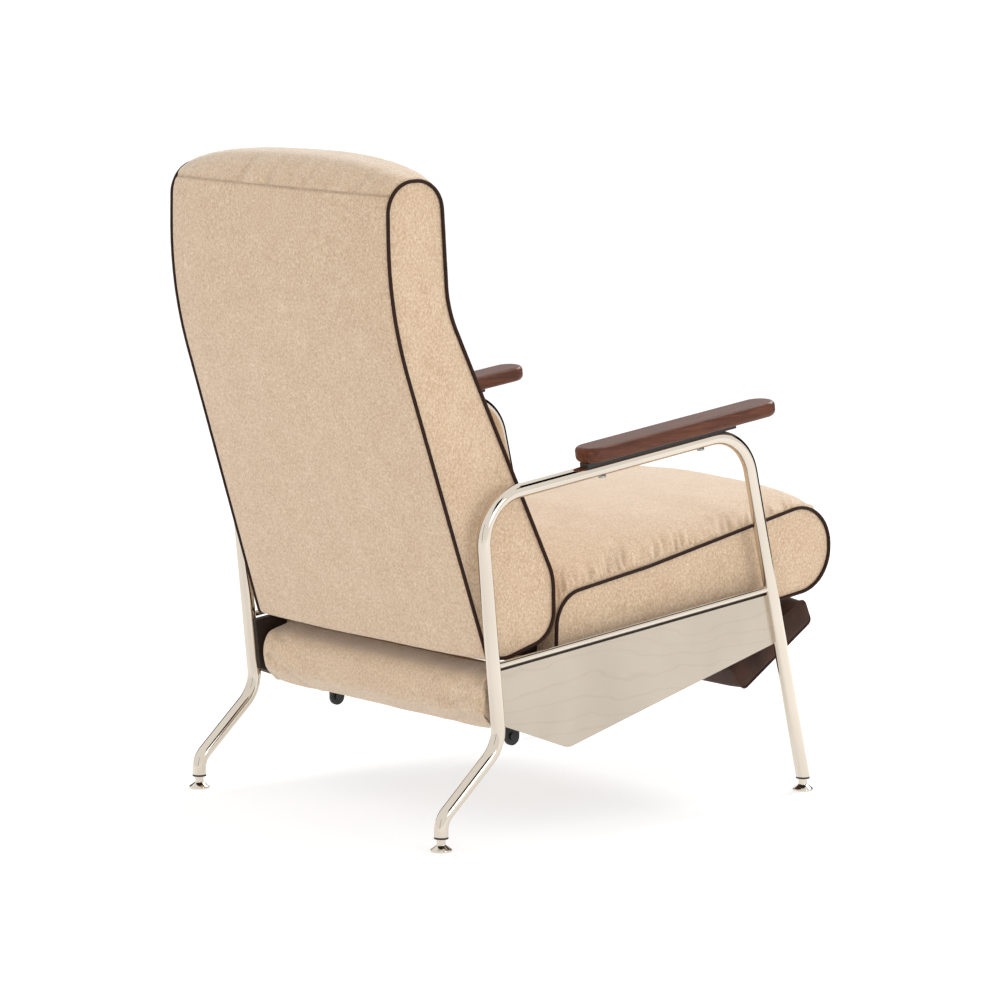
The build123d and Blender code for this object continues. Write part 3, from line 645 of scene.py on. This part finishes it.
def apron_shape(share, side, co, normal):
    """Pull lines where the apron cover is drawn over its ends.

    The returned fold also holds a painted shade towards the upper edge, under the back.
    """
    d = seam_distance(share, APRON_HALF)
    pull = ridge(Vector((co.x, 0.0, co.z - 0.35 * abs(co.x))), (12, 0, 70), 1.5)
    fold = ridge(Vector((co.x + co.z, 0.0, co.z)), (26, 0, 50), 4.5)
    ends = max(0.0, 1.0 - d / 200.0)
    folds = (3.2 * pull + 2.2 * fold) * ends * min(1.0, d / 12.0)
    # Painted shade: darker towards the upper edge as if under the back, added to the painted shade in the
    # pull lines.
    painted_overhang_shade = 1.8 * max(0.0, (co.z / MM - 222.0) / 35.0)
    return folds + 1.2 * ridge(co, (14, 20, 20), 2.2), folds - painted_overhang_shade


def back_half(z):
    """Half width of the back's side face, narrower towards the top."""
    share = (z - BACK_LOW[0]) / (BACK_HIGH[0] - BACK_LOW[0])
    return BACK_LOW[1] + (BACK_HIGH[1] - BACK_LOW[1]) * share


def seat_half(z):
    """Half width of the seat, the same at every height."""
    return SEAT_HALF


seat = cushion(
    "seat_cover", SEAT_PROFILE, lambda c: ((-451 - 23 * c, 393 + 8 * c), (119, 300)),
    seat_half, columns=200, rows=260, material=CHENILLE, shape=seat_shape,
)
back = cushion(
    "back_cover", BACK_PROFILE, lambda c: ((387, 1007 + 29 * c), (240, 274)),
    back_half, columns=150, rows=420, material=CHENILLE, shape=back_shape,
)
apron = cushion(
    "apron_cover", APRON_PROFILE, lambda c: ((262, 216), (206, 211)),
    lambda z: APRON_HALF, columns=150, rows=56, material=CHENILLE, shape=apron_shape, cap_bulge=6.0,
)
for piece, body, nodes in (
    (seat, "seat", ("seat_cushion",)),
    (back, "back", ("back_cushion", "back_rear_panel")),
    (apron, "frame", ("apron_pad",)),
):
    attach(piece, body)
    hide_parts(*nodes)


def winds_left(profile):
    """Whether the profile's inside is on its left as it is walked."""
    area = sum(
        profile[i - 1][0] * profile[i][1] - profile[i][0] * profile[i - 1][1]
        for i in range(len(profile))
    )
    return area > 0


def welt(name, profile, half_at, sign, body, node):
    """Piping that follows a cushion's side profile."""
    ring = cord_line(profile)
    inside = 1.0 if winds_left(profile) else -1.0
    path = []
    for i, p in enumerate(ring):
        along = (ring[(i + 1) % len(ring)] - ring[i - 1]).normalized()
        inward = Vector((-along.y, along.x)) * inside
        q = p + inward * WELT_SINK
        path.append(point(sign * (half_at(q.y) + WELT_STAND_OFF), q.x, q.y))
    obj = tube(name, path, WELT_R * MM, WELT, CORD_SIDES)
    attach(obj, body)
    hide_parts(node)


for side, sign in (("left", 1), ("right", -1)):
    welt(f"{side}_seat_piping", SEAT_PROFILE, seat_half, sign, "seat", f"{side}_seat_welt")
    welt(f"{side}_back_piping", BACK_PROFILE, back_half, sign, "back", f"{side}_back_welt")


# ------------------------------------------------------------------ footrest



def foot_profile():
    """The footrest's section as it is stowed, in the side profile's y and z."""
    result = []
    for u, n in FOOT_SECTION:
        y = FOOT_CORNER[0] + u * cos(FOOT_LEAN) + n * sin(FOOT_LEAN)
        z = FOOT_CORNER[1] - u * sin(FOOT_LEAN) + n * cos(FOOT_LEAN)
        result.append((y, z, FOOT_CORNER_R, 0.0, 0.0))
    return result


def foot_shape(share, side, co, normal):
    """Soft leather: slight puff between the edges and fine creases near the seams."""
    d = seam_distance(share, FOOT_HALF)
    if side == CAP:
        return 0.5, 0.0
    puff = 2.0 * min(1.0, d / 40.0)
    crease = 0.8 * ridge(co, (60, 20, 20), 1.0) * max(0.0, 1.0 - d / 60.0)
    return puff + crease - 1.4 * max(0.0, 1.0 - d / 5.0), crease


FOOT_PROFILE = foot_profile()
footrest = cushion(
    "footrest_cover", FOOT_PROFILE, lambda c: ((-430, 276), (-280, 184)),
    lambda z: FOOT_HALF, columns=110, rows=60, material=LEATHER, shape=foot_shape, cap_bulge=3.0,
)
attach(footrest, "footrest")
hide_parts("footrest_pad")

for side, sign in (("left", 1), ("right", -1)):
    path = [point(sign * (FOOT_HALF - FOOT_SEAM_INSET), p.x, p.y) for p in cord_line(FOOT_PROFILE)]
    seam = tube(f"{side}_footrest_seam", path, FOOT_SEAM_R * MM, LEATHER, SEAM_SIDES)
    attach(seam, "footrest")


# ------------------------------------------------------------------ stage, lights, camera

FLOOR_HALF = 60.0
FLOOR_TOP = -0.0005
FLOOR_GLOW = 0.66


def floor():
    """Floor, grey but partly self-lit so it meets the white surround with a faint shadow."""
    m = Nodes("white_floor")
    tone = m.noise(m.place(), 3.0)
    grey_stops = [(0.3, (0.40, 0.40, 0.40)), (0.7, (0.42, 0.42, 0.42))]
    m.set(color=m.ramp(tone, grey_stops), rough=0.95, specular=0.0)
    m.shader.inputs["Emission Color"].default_value = (1.0, 1.0, 1.0, 1.0)
    m.shader.inputs["Emission Strength"].default_value = FLOOR_GLOW
    corners = [(-1, -1), (1, -1), (1, 1), (-1, 1)]
    verts = [Vector((x * FLOOR_HALF, y * FLOOR_HALF, FLOOR_TOP)) for x, y in corners]
    obj = new_mesh("floor", verts, [(0, 1, 2, 3)], m.material, False)


def area_light(name, place, target, size, power, colour):
    """Rectangular light aimed at target."""
    data = bpy.data.lights.new(name, "AREA")
    data.shape = "RECTANGLE"
    data.size, data.size_y = size
    data.energy = power
    data.color = colour
    obj = bpy.data.objects.new(name, data)
    bpy.context.collection.objects.link(obj)
    obj.location = place
    obj.rotation_euler = (Vector(target) - Vector(place)).to_track_quat("-Z", "Y").to_euler()


def dark_card(name, centre, size, turn, tilt=0):
    """Black reflection card, seen only in reflections; it stands upright unless tilted."""
    m = Nodes(name)
    m.set(color=(0.004, 0.004, 0.004), rough=1.0, specular=0.0)
    w, h = size[0] / 2, size[1] / 2
    corners = [Vector((-w, 0, -h)), Vector((w, 0, -h)), Vector((w, 0, h)), Vector((-w, 0, h))]
    spin = Matrix.Rotation(radians(turn), 3, "Z") @ Matrix.Rotation(radians(tilt), 3, "X")
    obj = new_mesh(name, [spin @ c + Vector(centre) for c in corners], [(0, 1, 2, 3)], m.material, False)
    obj.visible_camera = False
    obj.visible_shadow = False
    obj.visible_diffuse = False


def world():
    """White studio surround."""
    made = bpy.data.worlds.new("studio")
    bpy.context.scene.world = made
    made.use_nodes = True
    background = made.node_tree.nodes["Background"]
    background.inputs["Color"].default_value = (1.0, 1.0, 1.0, 1.0)
    background.inputs["Strength"].default_value = 1.0


CAMERA_TURN = radians(50.89)
CAMERA_PITCH = radians(8.04)
CAMERA_PLACE = (-5942.8, 4832.8, 1547.4)
CAMERA_LENS = 175.8
SENSOR_WIDTH = 36.0


def camera():
    """The view from behind the sitter's right, nearly level, through a long lens."""
    turn, pitch = CAMERA_TURN, CAMERA_PITCH
    back_way = Vector((-sin(turn) * cos(pitch), cos(turn) * cos(pitch), sin(pitch)))
    up = Vector((0, 0, 1))
    right = (-back_way).cross(up).normalized()
    up = right.cross(-back_way)
    data = bpy.data.cameras.new("camera")
    data.sensor_width = SENSOR_WIDTH
    data.lens = CAMERA_LENS
    obj = bpy.data.objects.new("camera", data)
    bpy.context.collection.objects.link(obj)
    place = point(*CAMERA_PLACE)
    obj.matrix_world = Matrix((
        (right.x, up.x, back_way.x, place.x),
        (right.y, up.y, back_way.y, place.y),
        (right.z, up.z, back_way.z, place.z),
        (0, 0, 0, 1),
    ))
    bpy.context.scene.camera = obj


floor()
world()
area_light("key", (0.7, -3.4, 3.0), (0, -0.25, 0.45), (1.4, 1.0), 105.0, (1.0, 0.99, 0.98))
area_light("side", (-4.2, -0.6, 1.3), (0, -0.1, 0.4), (1.2, 1.2), 26.0, (1.0, 0.98, 0.95))
dark_card("card_right_edges", (0.2, -4.95, 1.2), (5.0, 3.4), 0)
dark_card("card_left_edges", (4.9, -0.4, 1.2), (2.0, 3.4), 90)
dark_card("card_overhead", (-1.6, -2.7, 3.6), (2.2, 2.6), 0, 90)
dark_card("card_rear_legs", (-3.8, 0.7, 3.3), (1.3, 2.2), 84, 39)
dark_card("card_behind_camera", (-2.6, 5.2, 1.4), (0.5, 3.2), 30)
camera()
bpy.context.scene.view_settings.view_transform = "Standard"
